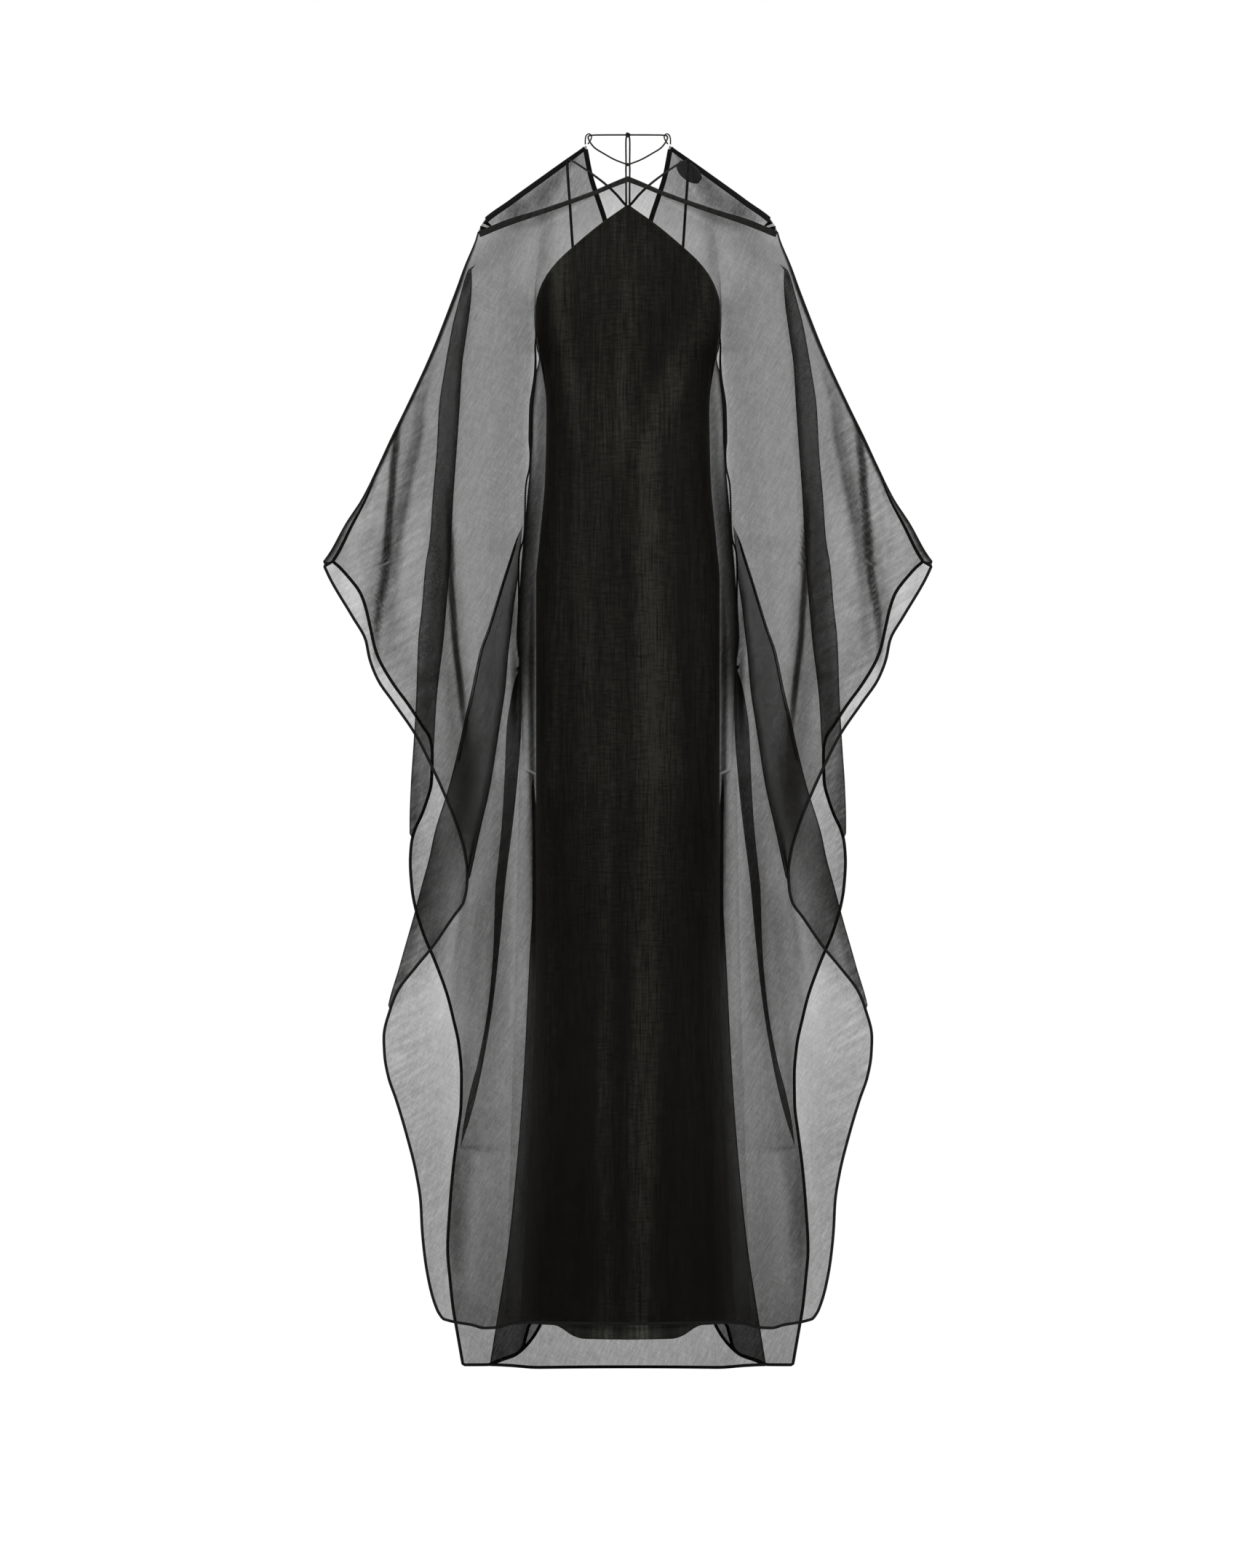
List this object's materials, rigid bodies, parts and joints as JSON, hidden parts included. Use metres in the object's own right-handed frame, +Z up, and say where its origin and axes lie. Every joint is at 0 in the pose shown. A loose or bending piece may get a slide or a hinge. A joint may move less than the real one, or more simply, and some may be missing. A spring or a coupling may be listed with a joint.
{
  "type": "kaftan",
  "caption": "Floor-length sheer kaftan with open sides and draped sleeves, hung from a neck cord over a plain opaque halter slip, in its worn, hollow form.",
  "frame": {"origin": "the base of the neck on the garment's centre line, level with the neck corners of the back panel, where the wearer's neck and shoulders hold the garment up", "axes": "+Z up, the front faces -Y, +X to the right as the front is looked at"},
  "size_m": [0.7948, 0.2485, 1.6157],
  "materials": {
    "sheer_organza": "black crinkled silk organza, see-through, soft sheen",
    "slip_cloth": "opaque black woven silk with a faint lengthwise slub and a dull sheen",
    "binding": "narrow black organza folded over and stitched, matt",
    "strap": "narrow flat black tape, matt",
    "cord": "thin round black rouleau cord, dull sheen",
    "label_cloth": "plain black satin label, blank"
  },
  "bodies": {
    "root": {"kaftan_front": "sheer_organza", "kaftan_back": "sheer_organza", "slip_front": "slip_cloth", "slip_back": "slip_cloth", "front_neck_binding": "binding", "nape_knot": "cord", "throat_knot": "cord", "label": "label_cloth", "back_top_binding_left": "binding", "back_opening_binding_left": "binding", "overarm_seam_left": "binding", "slip_strap_left": "strap", "neck_cord_left": "cord", "front_loop_left": "cord", "back_cord_left": "cord", "side_loop_left": "cord", "back_top_binding_right": "binding", "back_opening_binding_right": "binding", "overarm_seam_right": "binding", "slip_strap_right": "strap", "neck_cord_right": "cord", "front_loop_right": "cord", "back_cord_right": "cord", "side_loop_right": "cord"}
  },
  "joints": []
}
